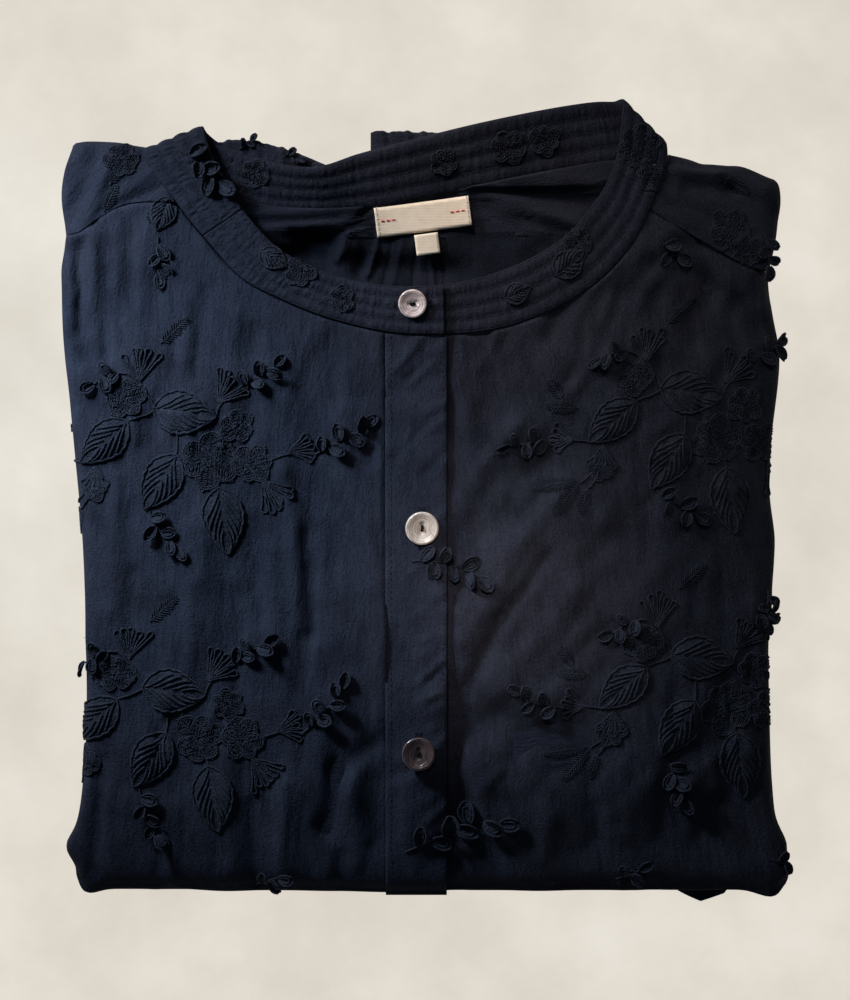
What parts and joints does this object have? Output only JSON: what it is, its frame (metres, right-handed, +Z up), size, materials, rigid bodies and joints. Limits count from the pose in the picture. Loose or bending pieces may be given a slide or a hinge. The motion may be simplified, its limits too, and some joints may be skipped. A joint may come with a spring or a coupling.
{
  "type": "folded blouse",
  "caption": "Collarless embroidered cotton blouse, buttoned and folded flat for a shelf, its stitched neck band open over the inside of the back.",
  "frame": {"origin": "on the surface, under the middle of the folded garment", "axes": "+X towards the wearer's left, +Y towards the neck, +Z up from the surface"},
  "size_m": [0.3038, 0.3376, 0.0305],
  "materials": {
    "navy_cotton": "crinkled cotton voile, matt",
    "shell": "polished shell",
    "label_weave": "woven satin"
  },
  "bodies": {
    "root": {"folded_layers": "navy_cotton", "front_right": "navy_cotton", "front_left": "navy_cotton", "placket": "navy_cotton", "yoke_right": "navy_cotton", "yoke_left": "navy_cotton", "back_yoke": "navy_cotton", "back": "navy_cotton", "neckband_right": "navy_cotton", "neckband_left": "navy_cotton", "neckband_back": "navy_cotton", "sleeve_right": "navy_cotton", "sleeve_left": "navy_cotton", "hem_corner": "navy_cotton", "label": "label_weave", "size_tab": "label_weave", "button_1": "shell", "button_2": "shell", "button_3": "shell"}
  },
  "joints": []
}
